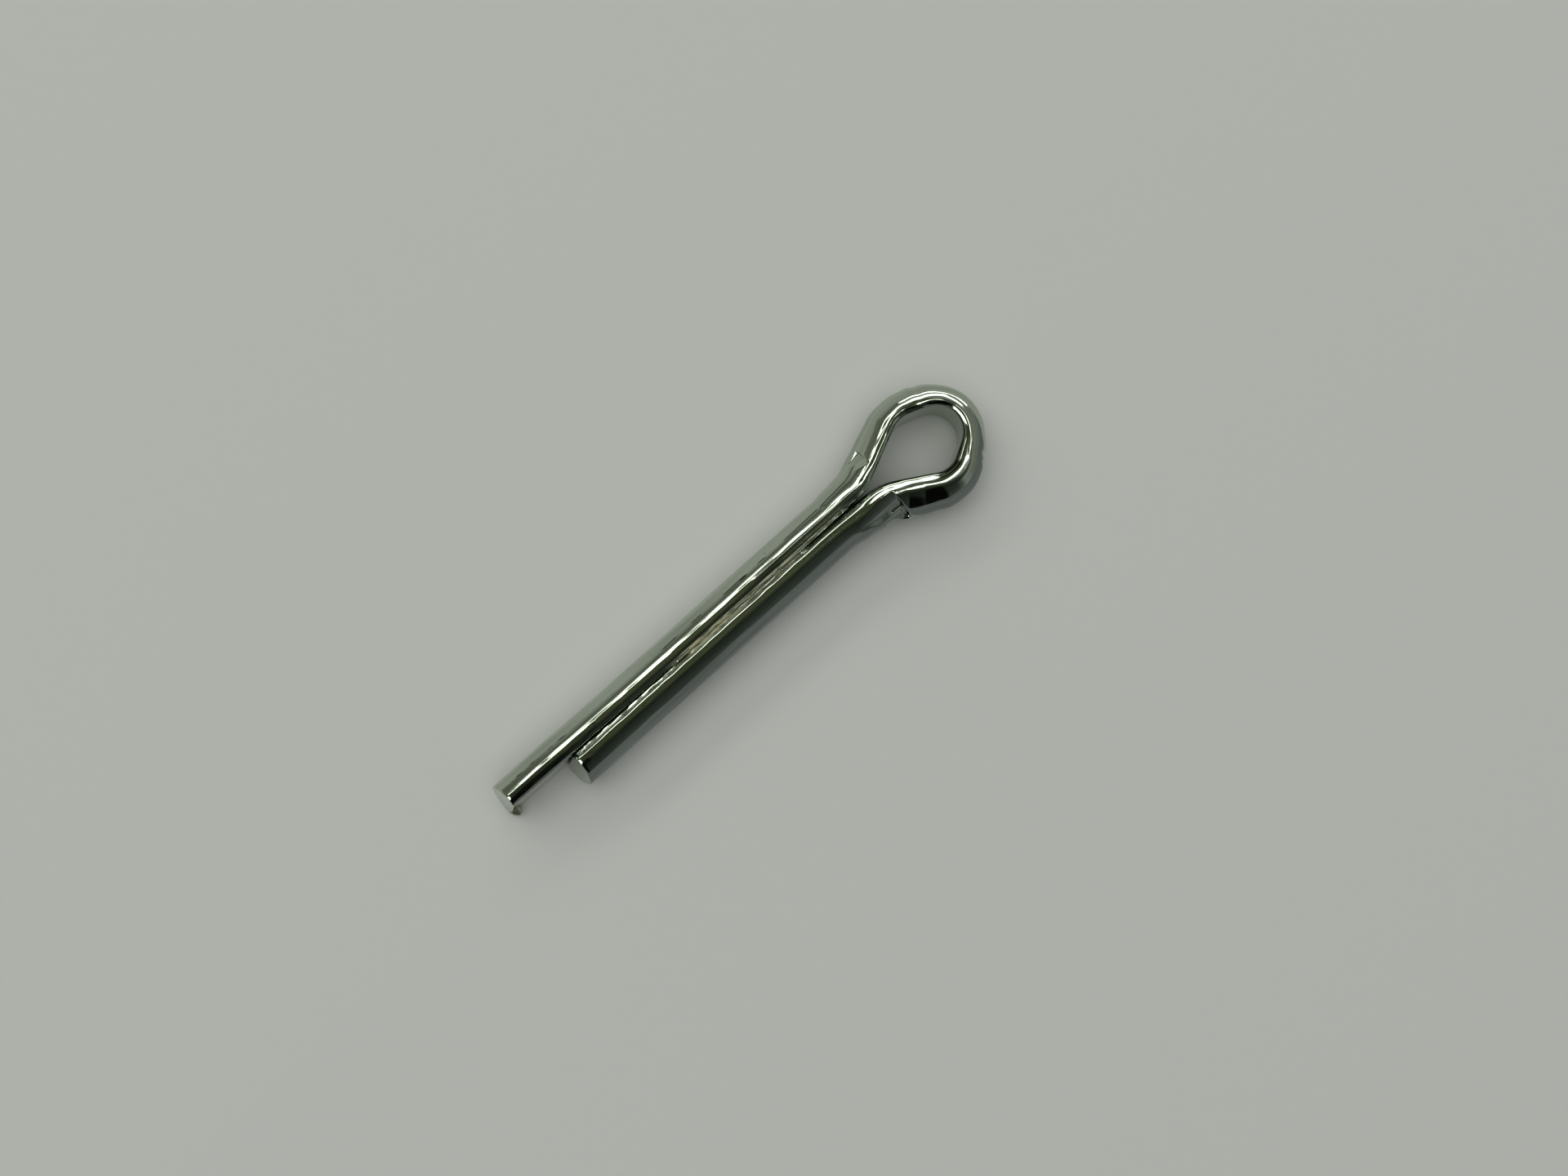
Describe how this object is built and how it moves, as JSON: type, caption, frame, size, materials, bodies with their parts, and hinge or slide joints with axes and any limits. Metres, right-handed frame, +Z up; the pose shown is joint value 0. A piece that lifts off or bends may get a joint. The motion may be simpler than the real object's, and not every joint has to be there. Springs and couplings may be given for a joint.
{
  "type": "cotter pin",
  "caption": "Split cotter pin bent from half-round wire: a teardrop eye, two closed legs forming a round shank, one leg longer, with sheared ends.",
  "frame": {"origin": "on the shank's axis, halfway along the shorter leg and halfway up the pin as it lies on its side", "axes": "+X along the shank toward the eye, +Y toward the longer leg, +Z up from the surface the pin lies on"},
  "size_m": [0.0359, 0.0073, 0.0034],
  "materials": {
    "zinc_plated_steel": "bright zinc plating over drawn steel wire, with fine scratches along the wire"
  },
  "bodies": {
    "root": {"cotter_pin": "zinc_plated_steel"}
  },
  "joints": []
}
